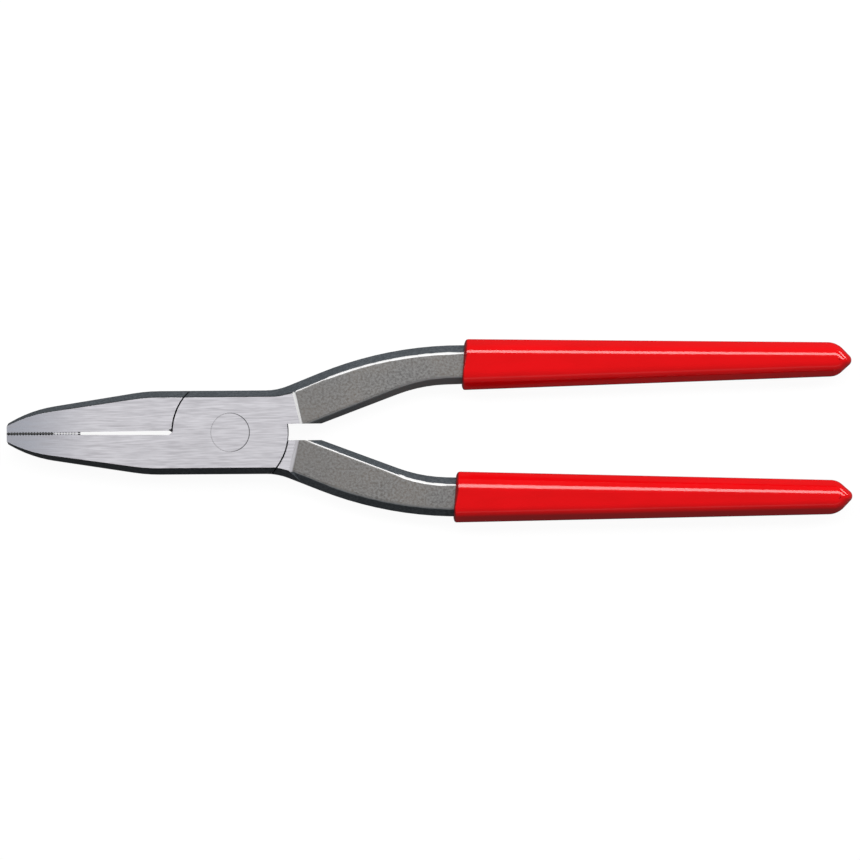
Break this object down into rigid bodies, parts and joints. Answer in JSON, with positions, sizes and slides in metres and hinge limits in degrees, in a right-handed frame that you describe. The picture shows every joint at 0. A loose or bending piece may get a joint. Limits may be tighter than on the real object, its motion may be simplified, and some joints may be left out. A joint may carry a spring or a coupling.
{
  "type": "flat-nose seaming pliers",
  "caption": "Long flat-nose seaming pliers with toothed tapering jaws, a flush-riveted lap joint and bowed handles in smooth red dip-moulded grips.",
  "frame": {"origin": "on the rivet's axis, in the ground plane of the face that the tool lies on", "axes": "+X from the jaw tips to the handle ends along the closed tool's middle line, +Z along the rivet's axis, up through the tool's thickness"},
  "size_m": [0.2807, 0.061, 0.012],
  "materials": {
    "lever_steel": "forged steel: flat faces of the head ground, handles shot-blasted, bevels dark",
    "rivet_steel": "ground flush with the joint",
    "grip_vinyl": "glossy dip-moulded vinyl"
  },
  "bodies": {
    "rear_half": {"rear_lever": "lever_steel", "pivot_rivet": "rivet_steel", "rear_grip": "grip_vinyl"},
    "front_half": {"front_lever": "lever_steel", "front_grip": "grip_vinyl"}
  },
  "joints": [
    {"name": "jaw_pivot", "type": "hinge", "parent": "rear_half", "child": "front_half", "pos_m": [0, 0, 0.006], "axis": [0, 0, 1], "range_deg": [0, 85]}
  ]
}
